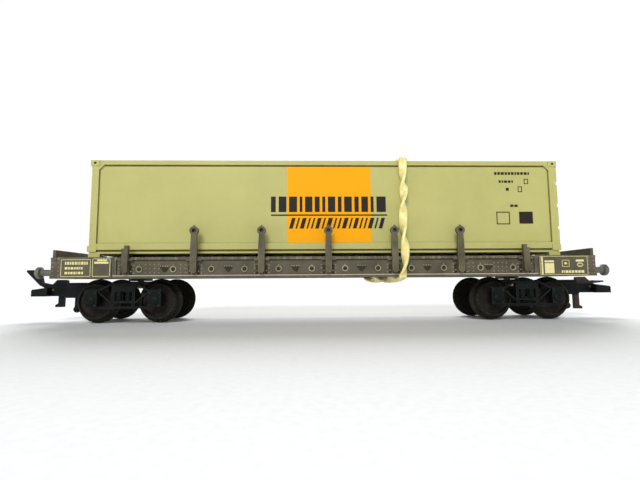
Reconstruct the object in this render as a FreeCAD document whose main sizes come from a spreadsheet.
import FreeCAD, Part
import os
import re
import Sketcher

# A 1:87 bogie flat car with stakes, carrying a forty-foot container held down by a rubber band.
# +X runs along the car, -Y is the near side and +Z is up. The origin is midway between the
# bogies, on the plane that the wheel flanges stand on. Lengths are in millimetres.

doc = FreeCAD.newDocument("flat_car")
sheet = doc.addObject("Spreadsheet::Sheet", "sizes")

SIZES = [
    # container and its fixings: the load sets the length and width of the car
    ("container_length", 140.0),
    ("container_width", 28.0),
    ("container_height", 28.0),
    ("container_gap", 1.05),
    ("base_thickness", 0.6),
    ("base_inset", 0.15),
    ("base_clearance", 0.1),
    ("wall_thickness", 1.0),
    ("panel_recess", 0.6),
    ("post_width", 2.0),
    ("top_rail_height", 1.3),
    ("bottom_rail_height", 3.05),
    ("rail_slot", 0.6),
    ("gusset", 1.5),
    ("fitting_length", 2.2),
    ("fitting_width", 2.0),
    ("fitting_height", 1.7),
    ("fitting_proud", 0.4),
    ("end_rib_proud", 0.5),
    ("end_rib_gap", 1.0),
    ("end_rib_inset", 0.3),
    ("door_sill", 1.5),
    ("door_strip_half", 0.25),
    ("lock_rod_radius", 0.35),
    ("lock_rod_spacing", 5.6),
    ("pad_length", 3.4),
    ("pad_width", 2.3),
    ("pad_overhang", 0.2),
    ("pad_inset", 0.1),
    ("band_offset", 3.4),
    ("band_width", 2.3),
    ("band_thickness", 0.6),
    ("band_slack", 0.3),
    # underframe and deck
    ("end_space", 9.6),
    ("side_space", 2.0),
    ("sole_gap", 0.9),
    ("frame_depth", 6.1),
    ("deck_thickness", 0.85),
    ("web_inset", 0.4),
    ("web_thickness", 1.2),
    ("flange_height", 0.85),
    ("headstock_thickness", 1.4),
    ("floor_thickness", 0.9),
    ("ballast_thickness", 0.8),
    ("ballast_clearance", 0.2),
    ("centre_sill_width", 0.8),
    ("centre_sill_spread", 3.4),
    ("centre_sill_depth", 2.2),
    ("end_board_thickness", 0.85),
    ("end_board_height", 2.15),
    ("end_board_inset", 0.5),
    ("board_rib_width", 1.2),
    ("board_rib_depth", 0.35),
    ("board_rib_drop", 0.3),
    ("panel_gap", 4.0),
    ("panel_margin", 2.8),
    ("panel_relief", 0.3),
    ("panel_foot", 0.15),
    ("panel_head", 0.25),
    ("pilaster_width", 1.1),
    ("pilaster_gap", 0.1),
    # stakes along both sides
    ("stake_margin", 21.4),
    ("stake_thickness", 1.3),
    ("stake_ring_height", 7.5),
    ("stake_ring_radius", 1.27),
    ("stake_hole_radius", 0.62),
    ("stake_hole_depth", 1.0),
    ("stake_neck_half", 0.78),
    ("stake_neck_drop", 1.0),
    ("stake_waist_half", 0.97),
    ("stake_waist_rise", 1.85),
    ("stake_knee_rise", 0.15),
    ("stake_foot_half", 0.9),
    ("stake_foot_height", 2.25),
    ("stake_lug_half", 2.1),
    ("stake_lug_depth", 0.6),
    ("stake_lug_drop", 1.15),
    ("stake_lug_height", 0.55),
    ("stake_nub_half", 0.25),
    ("stake_nub_rise", 0.35),
    ("stake_stub_height", 3.25),
    ("stub_notch", 0.9),
    ("stub_step", 0.2),
    ("stake_peg_radius", 0.5),
    ("stake_peg_length", 1.2),
    ("push_clearance", 0.02),
    # buffers
    ("buffer_spread", 20.0),
    ("buffer_rise", 1.8),
    ("buffer_reach", 7.5),
    ("buffer_head_radius", 1.75),
    ("buffer_head_thickness", 1.1),
    ("buffer_head_bevel", 0.25),
    ("buffer_dome", 0.7),
    ("buffer_dome_radius", 1.26),
    ("buffer_dome_edge", 0.2),
    ("buffer_shank_radius", 0.95),
    ("buffer_collar_radius", 1.5),
    ("buffer_collar_length", 1.2),
    ("buffer_peg_radius", 0.6),
    ("buffer_peg_gap", 0.2),
    # bogies: heights are measured from the axles
    ("bogie_overhang", 19.6),
    ("wheelbase", 18.4),
    ("side_gap", 1.25),
    ("side_frame_thickness", 1.2),
    ("bolster_rise", 5.85),
    ("bolster_thickness", 1.5),
    ("bolster_half", 2.4),
    ("bar_thickness", 0.55),
    ("arch_rise", 5.3),
    ("arch_foot_rise", 3.4),
    ("arch_rise_half", 3.7),
    ("arch_foot_half", 7.3),
    ("column_width", 0.8),
    ("column_inset", 0.3),
    ("spring_plank_drop", 0.4),
    ("tie_drop", 2.0),
    ("box_half", 1.8),
    ("box_relief", 0.5),
    ("cap_inset", 1.0),
    ("cap_drop", 0.4),
    ("cap_proud", 0.2),
    ("spring_radius", 0.75),
    ("spring_offset", 1.35),
    ("pivot_radius", 1.0),
    ("pivot_head_radius", 1.9),
    ("pivot_head_thickness", 0.6),
    ("pivot_rivet_thickness", 0.4),
    ("boss_radius", 3.6),
    ("running_clearance", 0.08),
    ("journal_clearance", 0.04),
    ("pivot_gap", 0.12),
    ("nose_half", 2.0),
    ("nose_drop", 0.25),
    ("nose_thickness", 1.1),
    ("nose_root", 0.5),
    ("peg_offset", 19.8),
    ("peg_radius", 0.75),
    ("peg_ball_radius", 1.1),
    ("peg_ball_drop", 4.25),
    # wheels and axles
    ("flange_radius", 6.6),
    ("tread_radius", 5.4),
    ("tread_taper", 0.12),
    ("flange_thickness", 1.0),
    ("flange_tip", 0.25),
    ("wheel_width", 3.2),
    ("wheel_edge", 0.2),
    ("wheel_fillet", 0.3),
    ("back_to_back", 14.3),
    ("rim_depth", 0.8),
    ("dish_depth", 0.7),
    ("hub_radius", 1.7),
    ("hub_edge", 0.1),
    ("axle_radius", 0.75),
    ("axle_cover", 0.4),
    ("journal_radius", 0.5),
    ("journal_length", 1.2),
    ("journal_point", 0.2),
    # couplers: lengths are measured from the bogie's peg and from the hook's pin
    ("coupler_gap", 0.15),
    ("coupler_depth", 2.95),
    ("coupler_step", 0.25),
    ("coupler_half", 2.0),
    ("coupler_eye_wall", 1.6),
    ("coupler_chin_length", 2.4),
    ("coupler_chin_slope", 1.0),
    ("coupler_chin_drop", 0.6),
    ("coupler_cheek", 2.0),
    ("coupler_front", 2.15),
    ("coupler_corner", 0.35),
    ("coupler_nose", 5.1),
    ("loop_half", 4.6),
    ("loop_bar", 1.2),
    ("loop_root", 0.4),
    ("slot_root", 1.5),
    ("hook_half", 0.7),
    ("hook_clearance", 0.25),
    ("hook_pin_radius", 0.4),
    ("hook_pin_ahead", 6.8),
    ("hook_pin_drop", 0.95),
    ("hook_tail_width", 1.6),
    ("hook_toe_length", 2.5),
    ("hook_toe_height", 0.7),
    ("hook_toe_root", 1.2),
    ("hook_back", 0.6),
    ("hook_front", 0.9),
    ("hook_arm_rise", 1.1),
    ("hook_arm_drop", 0.9),
    ("hook_throat", 0.4),
    ("hook_neck_depth", 1.0),
    ("hook_tip_depth", 0.5),
    ("hook_tip_edge", 0.3),
    ("hook_crest", 0.7),
    ("hook_hump_back", 3.6),
    ("hook_hump_front", 0.5),
    ("hook_hump_slope", 1.6),
    ("hook_hump_rise", 3.15),
    # the left hook stands high above its loop and the right one lies low behind its bar
    ("left_neck", 4.9),
    ("left_neck_rise", 2.3),
    ("left_head", 5.2),
    ("left_tip", 9.4),
    ("left_rise", 6.3),
    ("left_tail", 2.7),
    ("left_foot", 5.5),
    ("right_neck", 2.3),
    ("right_neck_rise", 2.0),
    ("right_head", 3.4),
    ("right_tip", 5.9),
    ("right_rise", 1.9),
    ("right_tail", 4.5),
    ("right_foot", 7.3),
    # how far a cutting shape runs past the face it cuts
    ("cut_over", 1.0),
]

# Sizes that follow from others: the car grows with its load and stands on its wheels.
DERIVED = {
    "frame_length": "container_length + 2 * end_space",
    "frame_width": "container_width + 2 * side_space",
    "frame_half": "frame_length / 2",
    "side_half": "frame_width / 2",
    "stake_pitch": "(frame_length - 2 * stake_margin) / 6",
    "panel_start": "frame_half - stake_margin + panel_gap",
    "panel_end": "frame_half - panel_margin",
    "bogie_centre": "frame_half - bogie_overhang",
    "bogie_half": "back_to_back / 2 + wheel_width + side_gap + side_frame_thickness",
    "bogie_inside": "bogie_half - side_frame_thickness",
    "axle_half": "bogie_half - axle_cover",
    "bolster_top": "flange_radius + bolster_rise",
    "bolster_bottom": "bolster_top - bolster_thickness",
    "arch_top": "flange_radius + arch_rise",
    "arch_end": "flange_radius + arch_foot_rise",
    "spring_plank": "flange_radius - spring_plank_drop",
    "tie_bottom": "flange_radius - tie_drop",
    "nose_top": "bolster_top - nose_drop",
    "sole_bottom": "bolster_top + sole_gap",
    "deck_top": "sole_bottom + frame_depth",
    "deck_under": "deck_top - deck_thickness",
    "floor_top": "deck_under - ballast_thickness - ballast_clearance",
    "floor_under": "floor_top - floor_thickness",
    "web_face": "side_half - web_inset",
    "web_back": "web_face - web_thickness",
    "buffer_centre": "sole_bottom + buffer_rise",
    "coupler_top": "nose_top - nose_thickness - coupler_gap",
    "coupler_bar_top": "coupler_top - coupler_step",
    "coupler_bottom": "coupler_top - coupler_depth",
    "peg_ball_height": "coupler_bottom - peg_ball_drop",
    "coupler_eye": "bogie_centre + peg_offset",
    "hook_pin": "coupler_eye + hook_pin_ahead",
    "hook_pin_height": "coupler_top - hook_pin_drop",
    "coupler_end": "hook_pin + coupler_nose",
    "container_bottom": "deck_top + container_gap",
    "body_bottom": "container_bottom + base_thickness",
    "container_top": "container_bottom + container_height",
    "container_half": "container_length / 2",
    "container_side": "container_width / 2",
    "panel_low": "container_bottom + bottom_rail_height",
    "panel_high": "container_top - top_rail_height",
    "inner_rim": "tread_radius - rim_depth",
    "wheel_back": "back_to_back / 2",
    "wheel_face": "wheel_back + wheel_width",
}

STAKES_PER_SIDE = 7
END_RIBS = 4
LOCK_RODS = 4
SIDES = (("near", -1), ("far", 1))
ENDS = (("left", -1), ("right", 1))
# Each wheelset: the end of the car it belongs to and its side of the bogie's centre.
WHEELSETS = ((-1, -1), (-1, 1), (1, -1), (1, 1))

HALF_TURN = FreeCAD.Rotation(FreeCAD.Vector(0, 0, 1), 180)
QUARTER_TURN = FreeCAD.Rotation(FreeCAD.Vector(0, 0, 1), 90)
UPRIGHT = FreeCAD.Rotation(FreeCAD.Vector(1, 0, 0), 90)
ALONG_X = FreeCAD.Rotation(FreeCAD.Vector(0, 1, 0), 90)
ALONG_Y = FreeCAD.Rotation(FreeCAD.Vector(1, 0, 0), -90)

for row, (alias, value) in enumerate(SIZES, start=1):
    sheet.set("A%d" % row, alias)
    sheet.set("B%d" % row, str(value))
    sheet.setAlias("B%d" % row, alias)
doc.recompute()

ALIASES = {alias for alias, value in SIZES}


def formula(text):
    """Turn words into references to the sheet, spelling out the derived ones."""
    def refer(match):
        word = match.group(0)
        if word in DERIVED:
            return "(%s)" % formula(DERIVED[word])
        if word not in ALIASES:
            raise RuntimeError("there is no size called " + word)
        return "sizes." + word
    return re.sub(r"[a-z_]+", refer, str(text))


def bind(thing, prop, text):
    thing.setExpression(prop, formula(text))


def put(thing, x="0", y="0", z="0", turn=None):
    """Place an object at three formulas, with an optional rotation."""
    if turn is not None:
        thing.Placement = FreeCAD.Placement(FreeCAD.Vector(0, 0, 0), turn)
    for letter, text in zip("xyz", (x, y, z)):
        bind(thing, "Placement.Base." + letter, text)
    return thing


def block(name, low, high):
    """A box between two corners, each given as three formulas."""
    solid = doc.addObject("Part::Box", name)
    for prop, start, end in zip(("Length", "Width", "Height"), low, high):
        bind(solid, prop, "(%s) - (%s)" % (end, start))
    return put(solid, *low)


def rod(name, radius, length, x, y, z, turn=None):
    """A cylinder that starts at a point and runs along +Z, or along the turned axis."""
    solid = doc.addObject("Part::Cylinder", name)
    bind(solid, "Radius", radius)
    bind(solid, "Height", length)
    return put(solid, x, y, z, turn)


def polygon(holder, name, points):
    """A closed sketch whose corners are tied to the sheet by a pair of dimensions each."""
    sketch = holder("Sketcher::SketchObject", name)
    count = len(points)
    for index in range(count):
        start = FreeCAD.Vector(index, index * index, 0)
        following = (index + 1) % count
        end = FreeCAD.Vector(following, following * following, 0)
        sketch.addGeometry(Part.LineSegment(start, end), False)
    for index in range(count):
        sketch.addConstraint(Sketcher.Constraint("Coincident", index, 2, (index + 1) % count, 1))
    for index, (across, up) in enumerate(points):
        for kind, text in (("DistanceX", across), ("DistanceY", up)):
            place = sketch.addConstraint(Sketcher.Constraint(kind, -1, 1, index, 1, 1.0 + index))
            sketch.setExpression("Constraints[%d]" % place, formula(text))
    return sketch


def profile(name, points, low, high):
    """A plate cut from an outline in X and Z, standing between two values of Y."""
    sketch = polygon(doc.addObject, name + "_outline", points)
    put(sketch, "0", low, "0", UPRIGHT)
    solid = doc.addObject("Part::Extrusion", name)
    solid.Base = sketch
    solid.DirMode = "Custom"
    solid.Dir = FreeCAD.Vector(0, 1, 0)
    solid.Solid = True
    bind(solid, "LengthFwd", "(%s) - (%s)" % (high, low))
    return solid


def joined(name, pieces):
    solid = doc.addObject("Part::MultiFuse", name)
    solid.Shapes = pieces
    solid.Refine = True
    return solid


def less(name, base, tools):
    solid = doc.addObject("Part::Cut", name)
    solid.Base = base
    solid.Tool = tools[0] if len(tools) == 1 else joined(name + "_tools", tools)
    solid.Refine = True
    return solid


def turned(name, points):
    """A body of revolution about Y: each point is a radius and a distance along the axis."""
    body = doc.addObject("PartDesign::Body", name)
    sketch = polygon(body.newObject, name + "_section", points)
    plane = [item for item in body.Origin.OriginFeatures if item.Role == "XY_Plane"][0]
    sketch.AttachmentSupport = (plane, [""])
    sketch.MapMode = "FlatFace"
    spin = body.newObject("PartDesign::Revolution", name + "_turning")
    spin.Profile = sketch
    spin.ReferenceAxis = (sketch, ["V_Axis"])
    spin.Angle = 360
    return body


def toward(sign, low, high):
    """A span on the + or - side, with the smaller value first."""
    return (low, high) if sign > 0 else ("-(%s)" % high, "-(%s)" % low)


nodes = []


def node(thing, name):
    """Name a finished sub-part after its node and keep it for writing."""
    thing.Label = name
    nodes.append(thing)


# ---------------------------------------------------------------- underframe and deck

def stake_place(number):
    """How far along the car a stake stands: the pattern is centred on the car."""
    return "stake_pitch * %d" % (number - STAKES_PER_SIDE // 2)


def make_underframe():
    """One moulding: floor, two sole bars, two headstocks, pivot bosses and stake seats."""
    block_all = block("frame_block", ("-frame_half", "-web_face", "sole_bottom"),
                      ("frame_half", "web_face", "deck_under"))
    inner = "(frame_half - headstock_thickness)"
    hollow = block("frame_hollow", ("-" + inner, "-web_back", "sole_bottom - cut_over"),
                   (inner, "web_back", "floor_under"))
    pocket = block("ballast_pocket", ("-" + inner, "-web_back", "floor_top"),
                   (inner, "web_back", "deck_under + cut_over"))
    pieces = [less("frame_channel", block_all, [hollow, pocket])]
    holes = []
    sill = "(bogie_centre - boss_radius / 2)"
    for side, sign in SIDES:
        low, high = toward(sign, "web_back", "side_half")
        pieces.append(block("flange_" + side, ("-frame_half", low, "sole_bottom"),
                            ("frame_half", high, "sole_bottom + flange_height")))
        low, high = toward(sign, "centre_sill_spread", "centre_sill_spread + centre_sill_width")
        pieces.append(block("centre_sill_" + side, ("-" + sill, low, "floor_under - centre_sill_depth"),
                            (sill, high, "floor_under")))
        low, high = toward(sign, "web_face", "side_half")
        peg_start = toward(sign, "side_half - stake_peg_length", "side_half")[0]
        for number in range(STAKES_PER_SIDE):
            place = stake_place(number)
            tag = "%s_%d" % (side, number + 1)
            pieces.append(block("stake_seat_" + tag,
                                (place + " - stake_foot_half", low, "sole_bottom + flange_height"),
                                (place + " + stake_foot_half", high, "deck_under")))
            holes.append(rod("stake_hole_" + tag, "stake_peg_radius + push_clearance", "stake_peg_length",
                             place, peg_start, "sole_bottom + stake_foot_height", ALONG_Y))
        for end, way in ENDS:
            tag = "%s_%s" % (end, side)
            left, right = toward(way, "panel_start", "panel_end")
            pieces.append(block("panel_backing_" + tag, (left, low, "sole_bottom"),
                                (right, high, "deck_under")))
            face = toward(sign, "side_half", "side_half + panel_relief")
            pieces.append(block("panel_face_" + tag, (left, face[0], "sole_bottom + panel_foot"),
                                (right, face[1], "deck_top - panel_head")))
            left, right = toward(way, "panel_start - pilaster_gap - pilaster_width",
                                 "panel_start - pilaster_gap")
            pieces.append(block("pilaster_" + tag, (left, low, "sole_bottom"), (right, high, "deck_under")))
            across = "%d * buffer_spread / 2" % sign
            collar = toward(way, "frame_half", "frame_half + buffer_collar_length")
            pieces.append(rod("buffer_socket_" + tag, "buffer_collar_radius", "buffer_collar_length",
                              collar[0], across, "buffer_centre", ALONG_X))
            bore = toward(way, inner, "frame_half + buffer_collar_length")
            holes.append(rod("buffer_hole_" + tag, "buffer_peg_radius + push_clearance",
                             "headstock_thickness + buffer_collar_length", bore[0], across,
                             "buffer_centre", ALONG_X))
    for end, way in ENDS:
        middle = "%d * bogie_centre" % way
        pieces.append(rod("pivot_boss_" + end, "boss_radius", "floor_under - bolster_top - pivot_gap",
                          middle, "0", "bolster_top + pivot_gap"))
        holes.append(rod("pivot_hole_" + end, "pivot_radius + push_clearance", "deck_top", middle, "0", "0"))
    node(less("underframe", joined("frame_with_details", pieces), holes), "underframe")


def make_deck():
    """The planked deck is one flat plate that closes the ballast pocket."""
    node(block("deck", ("-frame_half", "-side_half", "deck_under"), ("frame_half", "side_half", "deck_top")),
         "deck")


def make_ballast():
    """A steel strip under the deck gives the light moulding its weight."""
    half = "(frame_half - headstock_thickness - ballast_clearance)"
    width = "(web_back - ballast_clearance)"
    plate = block("ballast_blank", ("-" + half, "-" + width, "floor_top"),
                  (half, width, "floor_top + ballast_thickness"))
    holes = [rod("ballast_hole_" + end, "pivot_head_radius + 2 * ballast_clearance", "deck_top",
                 "%d * bogie_centre" % way, "0", "0") for end, way in ENDS]
    node(less("ballast_plate", plate, holes), "ballast_plate")


def make_end_board(end, way):
    """A low board across each end of the deck, with three ribs on its outer face."""
    half = "(side_half - end_board_inset)"
    back = "frame_half - board_rib_depth"
    left, right = toward(way, back + " - end_board_thickness", back)
    pieces = [block("board_" + end, (left, "-" + half, "deck_top"),
                    (right, half, "deck_top + end_board_height"))]
    left, right = toward(way, back, "frame_half")
    for step in (-1, 0, 1):
        place = "%d * (%s - board_rib_width)" % (step, half)
        pieces.append(block("board_rib_%s_%d" % (end, step + 1),
                            (left, place + " - board_rib_width / 2", "deck_top"),
                            (right, place + " + board_rib_width / 2",
                             "deck_top + end_board_height - board_rib_drop")))
    node(joined("end_board_" + end, pieces), "end_board_" + end)


def make_pads():
    """Four small pads on the deck carry the corners of the container."""
    pads = []
    for end, way in ENDS:
        for side, sign in SIDES:
            edge = "container_half + pad_overhang"
            left, right = toward(way, edge + " - pad_length", edge)
            edge = "container_side - pad_inset"
            low, high = toward(sign, edge + " - pad_width", edge)
            pads.append(block("pad_%s_%s" % (end, side), (left, low, "deck_top"),
                              (right, high, "container_bottom")))
    group = doc.addObject("Part::Compound", "container_pads")
    group.Links = pads
    node(group, "container_pads")


def make_stake(side, sign, number):
    """A flat stake: rounded foot on the sole bar, narrow post and a dished eye at the top."""
    name = "stake_%s_%d" % (side, number + 1)
    eye = "(deck_top + stake_ring_height)"
    heel = "(sole_bottom + stake_foot_height)"
    knee = "(deck_top + stake_knee_rise)"
    waist = "(deck_top + stake_waist_rise)"
    stub = number in (0, STAKES_PER_SIDE - 1)
    if stub:
        step_up = "deck_top + stake_stub_height"
        crown = [("stake_waist_half", step_up + " - stub_notch"), ("stub_step", step_up + " - stub_notch"),
                 ("stub_step", step_up), ("-stake_waist_half", step_up)]
        if number == 0:
            crown = [("-(%s)" % across, up) for across, up in reversed(crown)]
    else:
        crown = [("stake_neck_half", eye + " - stake_neck_drop"),
                 ("-stake_neck_half", eye + " - stake_neck_drop")]
    outline = [("-stake_foot_half", heel), ("stake_foot_half", heel), ("stake_foot_half", knee),
               ("stake_waist_half", waist)] + crown + [("-stake_waist_half", waist), ("-stake_foot_half", knee)]
    pieces = [
        profile(name + "_post", outline, "-stake_thickness", "0"),
        rod(name + "_heel", "stake_foot_half", "stake_thickness", "0", "-stake_thickness", heel, ALONG_Y),
        rod(name + "_peg", "stake_peg_radius", "stake_peg_length", "0", "0", heel, ALONG_Y),
        block(name + "_lug", ("-stake_lug_half", "-stake_lug_depth", "deck_top - stake_lug_drop"),
              ("stake_lug_half", "0", "deck_top - stake_lug_drop + stake_lug_height")),
    ]
    if stub:
        stake = joined(name, pieces)
    else:
        pieces.append(rod(name + "_eye", "stake_ring_radius", "stake_thickness", "0", "-stake_thickness",
                          eye, ALONG_Y))
        pieces.append(block(name + "_nub", ("-stake_nub_half", "-stake_thickness / 2 - stake_nub_half",
                                            eye + " + stake_neck_drop"),
                            ("stake_nub_half", "-stake_thickness / 2 + stake_nub_half",
                             eye + " + stake_ring_radius + stake_nub_rise")))
        opening = rod(name + "_opening", "stake_hole_radius", "stake_hole_depth + cut_over", "0",
                      "-stake_thickness - cut_over", eye, ALONG_Y)
        stake = less(name, joined(name + "_solid", pieces), [opening])
    turn = FreeCAD.Rotation() if sign < 0 else HALF_TURN
    put(stake, stake_place(number), "%d * side_half" % sign, "0", turn)
    node(stake, name)


def make_buffer(end, way, side, sign):
    """A turned buffer: domed head, shank, and a peg pushed into its socket."""
    name = "buffer_%s_%s" % (end, side)
    rim = "(buffer_reach - buffer_dome)"
    neck = "(buffer_reach - buffer_dome - buffer_head_thickness)"
    peg_end = "-headstock_thickness + buffer_peg_gap"
    points = [("0", peg_end), ("buffer_peg_radius", peg_end),
              ("buffer_peg_radius", "buffer_collar_length"), ("buffer_shank_radius", "buffer_collar_length"),
              ("buffer_shank_radius", neck), ("buffer_head_radius", neck + " + buffer_head_bevel"),
              ("buffer_head_radius", rim), ("buffer_dome_radius", "buffer_reach - buffer_dome_edge"),
              ("0", "buffer_reach")]
    buffer = turned(name, points)
    turn = FreeCAD.Rotation(FreeCAD.Vector(0, 0, 1), -90 * way)
    put(buffer, "%d * frame_half" % way, "%d * buffer_spread / 2" % sign, "buffer_centre", turn)
    node(buffer, name)


def make_pivot_pin(end, way):
    """A headed pin holds the bogie up against its boss; its top is riveted over the floor."""
    name = "pivot_pin_" + end
    under = "(bolster_bottom - pivot_gap - pivot_head_thickness)"
    shank = rod(name + "_shank", "pivot_radius", "floor_top + pivot_rivet_thickness - " + under, "0", "0", under)
    head = rod(name + "_head", "pivot_head_radius", "pivot_head_thickness", "0", "0", under)
    rivet = rod(name + "_rivet", "pivot_head_radius", "pivot_rivet_thickness", "0", "0", "floor_top")
    pin = joined(name, [shank, head, rivet])
    put(pin, "%d * bogie_centre" % way)
    node(pin, name)


# ---------------------------------------------------------------- bogies and wheels

def bar(name, path, low, high):
    """A flat bar that follows a path in X and Z; the path is its top edge."""
    under = [(across, "(%s) - bar_thickness" % up) for across, up in reversed(path)]
    return profile(name, path + under, low, high)


def symmetric(points):
    """A path across the bogie from its right half, whose points run outwards."""
    return [("-(%s)" % across, up) for across, up in reversed(points)] + points


def make_bogie_side(name, side, sign):
    """The pieces of one arch-bar side: bars, columns, axle boxes, springs and bolster end."""
    low, high = toward(sign, "bogie_inside", "bogie_half")
    box_end = "wheelbase / 2 + box_half"
    plank_top = "spring_plank + bar_thickness"
    sling_end = "arch_end - bar_thickness / 2"
    bars = {
        "arch": [("arch_rise_half", "arch_top"), ("arch_foot_half", "arch_end"), (box_end, "arch_end")],
        "sling": [("arch_rise_half", plank_top), ("arch_foot_half", sling_end)],
        "tie": [("arch_foot_half", "tie_bottom + bar_thickness"), (box_end, "tie_bottom + 2 * bar_thickness")],
    }
    pieces = [bar("%s_%s_%s" % (name, kind, side), symmetric(path), low, high) for kind, path in bars.items()]
    box = toward(sign, "bogie_inside", "bogie_half + box_relief")
    for post, way in (("rear", -1), ("front", 1)):
        tag = "%s_%s" % (side, post)
        outer = "arch_rise_half - column_inset"
        column = toward(way, outer + " - column_width", outer)
        pieces.append(block("%s_column_%s" % (name, tag), (column[0], low, "tie_bottom + bar_thickness / 2"),
                            (column[1], high, "arch_top - bar_thickness / 2")))
        middle = "%d * wheelbase / 2" % way
        pieces.append(block("%s_box_%s" % (name, tag),
                            (middle + " - box_half", box[0], "tie_bottom + bar_thickness"),
                            (middle + " + box_half", box[1], sling_end)))
        pieces.append(rod("%s_spring_%s" % (name, tag), "spring_radius", "arch_end - spring_plank - bar_thickness",
                          "%d * spring_offset" % way, "%d * (bogie_half - side_frame_thickness / 2)" % sign,
                          "spring_plank + bar_thickness / 2"))
    half = "(arch_rise_half - cap_inset)"
    cap = toward(sign, "bogie_inside", "bogie_half + cap_proud")
    pieces.append(block("%s_cap_%s" % (name, side), ("-" + half, cap[0], "arch_end - cap_drop"),
                        (half, cap[1], "bolster_bottom + cap_proud")))
    pieces.append(block("%s_bolster_%s" % (name, side), ("-" + half, low, "bolster_bottom"),
                        (half, high, "arch_top")))
    return pieces


def make_bogie(end, way):
    """Arch-bar bogie in one moulding, with a nose and a ball-ended peg for the coupler."""
    name = "bogie_frame_" + end
    pieces = []
    holes = [rod(name + "_pivot", "pivot_radius + running_clearance", "deck_top", "0", "0", "0")]
    bore = "axle_half + running_clearance"
    for side, sign in SIDES:
        pieces += make_bogie_side(name, side, sign)
        start = toward(sign, "bogie_inside - cut_over", bore)[0]
        for post, step in (("rear", -1), ("front", 1)):
            holes.append(rod("%s_journal_%s_%s" % (name, side, post), "journal_radius + journal_clearance",
                             bore + " - bogie_inside + cut_over", "%d * wheelbase / 2" % step, start,
                             "flange_radius", ALONG_Y))
    pieces.append(block(name + "_bolster", ("-bolster_half", "-bogie_inside", "bolster_bottom"),
                        ("bolster_half", "bogie_inside", "bolster_top")))
    pieces.append(block(name + "_nose", ("bolster_half - nose_root", "-nose_half", "nose_top - nose_thickness"),
                        ("peg_offset + nose_half", "nose_half", "nose_top")))
    pieces.append(rod(name + "_peg", "peg_radius", "nose_top - peg_ball_height", "peg_offset", "0",
                      "peg_ball_height"))
    ball = doc.addObject("Part::Sphere", name + "_ball")
    bind(ball, "Radius", "peg_ball_radius")
    pieces.append(put(ball, "peg_offset", "0", "peg_ball_height"))
    bogie = less(name, joined(name + "_solid", pieces), holes)
    put(bogie, "%d * bogie_centre" % way, "0", "0", FreeCAD.Rotation() if way > 0 else HALF_TURN)
    node(bogie, name)


def make_axle(name, place):
    """A steel axle with a reduced journal at each end."""
    half = [("0", "axle_half"), ("journal_radius - journal_point", "axle_half"),
            ("journal_radius", "axle_half - journal_point"), ("journal_radius", "axle_half - journal_length"),
            ("axle_radius", "axle_half - journal_length")]
    points = [(radius, "-(%s)" % along) for radius, along in half] + list(reversed(half))
    axle = turned(name, points)
    put(axle, place, "0", "flange_radius")
    node(axle, name)


def make_wheel(name, place, sign):
    """A dished wheel: flange at the back, coned tread, and a hub pressed on the axle."""
    tread_start = "wheel_back + flange_thickness"
    wheel = turned(name, [
        ("axle_radius", "wheel_back"), ("hub_radius", "wheel_back"),
        ("hub_radius + wheel_fillet", "wheel_back + dish_depth"), ("inner_rim", "wheel_back + dish_depth"),
        ("inner_rim + wheel_edge", "wheel_back"), ("flange_radius - flange_tip", "wheel_back"),
        ("flange_radius", "wheel_back + flange_thickness / 3"),
        ("flange_radius - wheel_edge / 2", "wheel_back + flange_thickness * 2 / 3"),
        ("tread_radius + wheel_edge", tread_start), ("tread_radius", tread_start + " + wheel_fillet"),
        ("tread_radius - tread_taper", "wheel_face - wheel_edge"), ("tread_radius - wheel_fillet", "wheel_face"),
        ("inner_rim + wheel_edge / 2", "wheel_face"), ("inner_rim", "wheel_face - dish_depth"),
        ("hub_radius + wheel_fillet", "wheel_face - dish_depth"), ("hub_radius", "wheel_face - hub_edge"),
        ("axle_radius", "wheel_face - hub_edge")])
    put(wheel, place, "0", "flange_radius", FreeCAD.Rotation() if sign > 0 else HALF_TURN)
    node(wheel, name)


# ---------------------------------------------------------------- couplers

def make_coupler(end, way):
    """A shank that swings on the bogie's peg and opens into a loop behind a front bar."""
    name = "coupler_" + end
    back = "coupler_eye - coupler_eye_wall"
    chin = "coupler_eye + coupler_chin_length"
    cheek = "hook_pin + coupler_cheek"
    outline = [(back, "coupler_bottom - coupler_chin_drop"), (chin, "coupler_bottom - coupler_chin_drop"),
               (chin + " + coupler_chin_slope", "coupler_bottom"), (cheek, "coupler_bottom"),
               (cheek, "coupler_bar_top"), (cheek + " - coupler_chin_slope", "coupler_top"), (back, "coupler_top")]
    shank = profile(name + "_shank", outline, "-coupler_half", "coupler_half")
    root = "hook_pin + loop_root"
    front = "coupler_bottom + coupler_front"
    rim = [(root, "coupler_bottom"), ("coupler_end", "coupler_bottom"),
           ("coupler_end", front + " - coupler_corner"), ("coupler_end - coupler_corner", front),
           (root, "coupler_bar_top")]
    loop = profile(name + "_loop", rim, "-loop_half", "loop_half")
    window = block(name + "_window", (cheek, "-loop_half + loop_bar", "coupler_bottom - cut_over"),
                   ("coupler_end - loop_bar", "loop_half - loop_bar", "coupler_bar_top + cut_over"))
    slot_half = "(hook_half + hook_clearance)"
    slot = block(name + "_slot", ("coupler_eye + slot_root", "-" + slot_half, "0"),
                 ("coupler_end - loop_bar", slot_half, "deck_top"))
    hole = rod(name + "_eye", "peg_radius + running_clearance", "deck_top", "coupler_eye", "0", "0")
    pin_hole = rod(name + "_pin_hole", "hook_pin_radius", "2 * coupler_half", "hook_pin",
                   "-coupler_half", "hook_pin_height", ALONG_Y)
    coupler = less(name, joined(name + "_solid", [shank, less(name + "_yoke", loop, [window])]),
                   [slot, hole, pin_hole])
    put(coupler, turn=FreeCAD.Rotation() if way > 0 else HALF_TURN)
    node(coupler, name)


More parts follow.
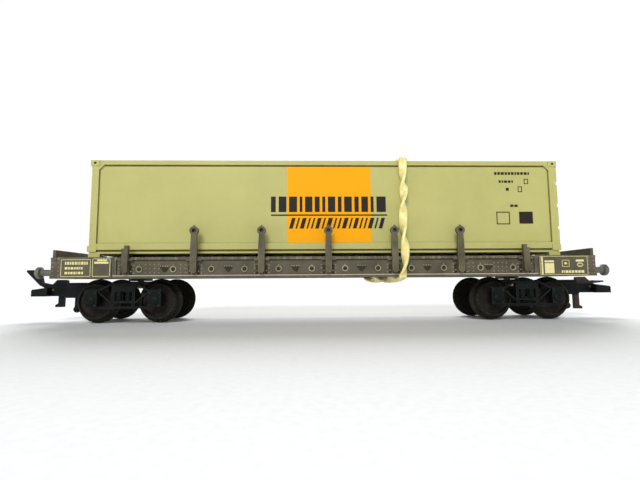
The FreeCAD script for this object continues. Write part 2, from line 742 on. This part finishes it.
def make_hook(end, way):
    """A flat hook on a cross pin, with a J-shaped tail that an uncoupling ramp pushes up."""
    name = "hook_" + end
    tail = "hook_pin - %s_tail" % end
    foot = "hook_pin_height - %s_foot" % end
    neck = "hook_pin + %s_neck" % end
    neck_top = "hook_pin_height + %s_neck_rise" % end
    head = "hook_pin + %s_head" % end
    tip = "hook_pin + %s_tip" % end
    top = "hook_pin_height + %s_rise" % end
    arm_top = "hook_pin_height + hook_arm_rise"
    arm_low = "hook_pin_height - hook_arm_drop"
    outline = [
        (tail, "hook_pin_height + hook_back"), (tail, foot), (tail + " + hook_toe_length", foot),
        (tail + " + hook_toe_length", foot + " + hook_toe_height"),
        (tail + " + hook_tail_width", foot + " + hook_toe_root"), (tail + " + hook_tail_width", arm_low),
        ("hook_pin + hook_front", arm_low),
        (neck + " - hook_throat", neck_top + " - hook_neck_depth - hook_clearance / 2"),
        (neck, neck_top + " - hook_neck_depth"), (tip, top + " - hook_tip_depth"),
        (tip + " - hook_tip_edge", top), (head, top), (neck + " - hook_crest", neck_top),
        ("hook_pin + hook_front", arm_top + " + hook_tip_depth"), ("hook_pin - hook_back", arm_top)]
    crest = "hook_pin_height + hook_hump_rise"
    hump = [("hook_pin - hook_hump_back", "hook_pin_height"),
            ("hook_pin - hook_hump_front + hook_hump_slope", "hook_pin_height"),
            ("hook_pin - hook_hump_front + hook_hump_slope", arm_top + " + hook_tip_depth"),
            ("hook_pin - hook_hump_front", crest), ("hook_pin - hook_hump_back + hook_tip_edge", crest),
            ("hook_pin - hook_hump_back", crest + " - hook_tip_edge")]
    plate = joined(name + "_plate", [profile(name + "_arm", outline, "-hook_half", "hook_half"),
                                     profile(name + "_hump", hump, "-hook_half", "hook_half")])
    hole = rod(name + "_hole", "hook_pin_radius + journal_clearance", "4 * hook_half",
               "hook_pin", "-2 * hook_half", "hook_pin_height", ALONG_Y)
    hook = less(name, plate, [hole])
    put(hook, turn=FreeCAD.Rotation() if way > 0 else HALF_TURN)
    node(hook, name)


def make_hook_pin(end, way):
    """A plain cross pin pressed through the two cheeks of the coupler."""
    name = "hook_pin_" + end
    node(rod(name, "hook_pin_radius", "2 * coupler_half", "%d * hook_pin" % way, "-coupler_half",
             "hook_pin_height", ALONG_Y), name)


# ---------------------------------------------------------------- container and band

def container_relief():
    """What is cut into the container: its inside, the side panels, rail slots and doors."""
    wall = "(wall_thickness + panel_recess)"
    edge = "container_half - post_width"
    cuts = [block("container_cavity",
                  ("-container_half + " + wall, "-container_side + " + wall, "body_bottom - cut_over"),
                  ("container_half - " + wall, "container_side - " + wall, "container_top - " + wall))]
    corner = [(edge + " - gusset", "panel_high"), (edge, "panel_high - gusset"), (edge, "panel_low")]
    for side, sign in SIDES:
        deep = toward(sign, "container_side - panel_recess", "container_side + cut_over")
        cuts.append(profile("panel_recess_" + side, symmetric(corner), *deep))
        cuts.append(block("rail_slot_" + side, ("-(%s)" % edge, deep[0], "body_bottom"),
                          (edge, deep[1], "body_bottom + rail_slot")))
    cuts.append(block("door_recess",
                      ("-container_half - cut_over", "-container_side + post_width", "panel_low - door_sill"),
                      ("-container_half + panel_recess", "container_side - post_width", "panel_high")))
    return cuts


def container_details():
    """What stands on the container: corner fittings, end ribs, lock rods and the door strip."""
    pieces = []
    for end, way in ENDS:
        along = toward(way, "container_half - fitting_length", "container_half + fitting_proud")
        for side, sign in SIDES:
            across = toward(sign, "container_side - fitting_width", "container_side + fitting_proud / 2")
            for level, start in (("low", "body_bottom"), ("high", "container_top - fitting_height")):
                pieces.append(block("fitting_%s_%s_%s" % (end, side, level), (along[0], across[0], start),
                                    (along[1], across[1], start + " + fitting_height")))
    step = "(container_top - body_bottom) / %d" % END_RIBS
    for number in range(END_RIBS):
        start = "body_bottom + %d * %s + end_rib_gap / 2" % (number, step)
        pieces.append(block("end_rib_%d" % number, ("container_half", "-container_side + end_rib_inset", start),
                            ("container_half + end_rib_proud", "container_side - end_rib_inset",
                             "%s + %s - end_rib_gap" % (start, step))))
    door_face = "-container_half + panel_recess"
    for number in range(LOCK_RODS):
        pieces.append(rod("lock_rod_%d" % number, "lock_rod_radius", "panel_high - panel_low", door_face,
                          "lock_rod_spacing * %d / 2" % (2 * number - LOCK_RODS + 1), "panel_low - cut_over"))
    pieces.append(block("door_strip", (door_face + " - door_strip_half", "-door_strip_half",
                                       "panel_low - door_sill"),
                        (door_face, "door_strip_half", "panel_high")))
    return pieces


def make_container_body():
    """Four walls and the roof in one moulding, with rails, posts, fittings and end relief."""
    shell = block("container_block", ("-container_half", "-container_side", "body_bottom"),
                  ("container_half", "container_side", "container_top"))
    body = less("container_shell", shell, container_relief())
    node(joined("container_body", [body] + container_details()), "container_body")


def make_container_base():
    """The floor of the container is a flat tray that plugs into the shell."""
    width = "(container_side - base_inset)"
    lip = block("base_lip", ("-container_half", "-" + width, "container_bottom"),
                ("container_half", width, "body_bottom"))
    length = "(container_half - fitting_length - base_clearance)"
    width = "(container_side - fitting_width - base_clearance)"
    plug = block("base_plug", ("-" + length, "-" + width, "body_bottom"),
                 (length, width, "body_bottom + wall_thickness"))
    node(joined("container_base", [lip, plug]), "container_base")


def make_band():
    """The stretched band: one flat loop round the container roof and under the sole bars."""
    shoulder = "container_side + band_slack"
    top = "container_top + band_slack"
    inside = symmetric([(shoulder, top), ("side_half", "deck_top"), ("side_half", "sole_bottom")])
    outside = symmetric([(shoulder + " + band_thickness", top + " + band_thickness"),
                         ("side_half + band_thickness", "deck_top"),
                         ("side_half + band_thickness", "sole_bottom - band_thickness")])
    outer = profile("band_outside", outside, "0", "band_width")
    inner = profile("band_inside", inside, "-cut_over", "band_width + cut_over")
    band = less("retaining_band", outer, [inner])
    put(band, "stake_pitch + band_offset + band_width / 2", "0", "0", QUARTER_TURN)
    node(band, "retaining_band")


# ---------------------------------------------------------------- build and write

def write_parts():
    """Check every object and every sub-part, then write one file for each node."""
    for thing in doc.Objects:
        if "Invalid" in thing.State or "Error" in thing.State:
            raise RuntimeError("%s did not build: %s" % (thing.Name, thing.State))
    for thing in nodes:
        if thing.Shape.isNull() or not thing.Shape.isValid():
            raise RuntimeError("%s has no valid shape" % thing.Label)
    os.makedirs("parts", exist_ok=True)
    for thing in nodes:
        print("%-22s solids %d volume %9.3f" % (thing.Label, len(thing.Shape.Solids), thing.Shape.Volume))
        thing.Shape.exportStep(os.path.join("parts", thing.Label + ".step"))
    print(len(nodes), "nodes")


def main():
    make_underframe()
    make_deck()
    make_ballast()
    make_pads()
    for end, way in ENDS:
        make_end_board(end, way)
        make_pivot_pin(end, way)
        make_bogie(end, way)
        make_coupler(end, way)
        make_hook(end, way)
        make_hook_pin(end, way)
        for side, sign in SIDES:
            make_buffer(end, way, side, sign)
    for side, sign in SIDES:
        for number in range(STAKES_PER_SIDE):
            make_stake(side, sign, number)
    for number, (way, step) in enumerate(WHEELSETS, start=1):
        place = "%d * bogie_centre + %d * wheelbase / 2" % (way, step)
        make_axle("axle_%d" % number, place)
        for side, sign in SIDES:
            make_wheel("wheel_%d_%s" % (number, side), place, sign)
    make_container_body()
    make_container_base()
    make_band()
    doc.recompute()
    write_parts()


main()
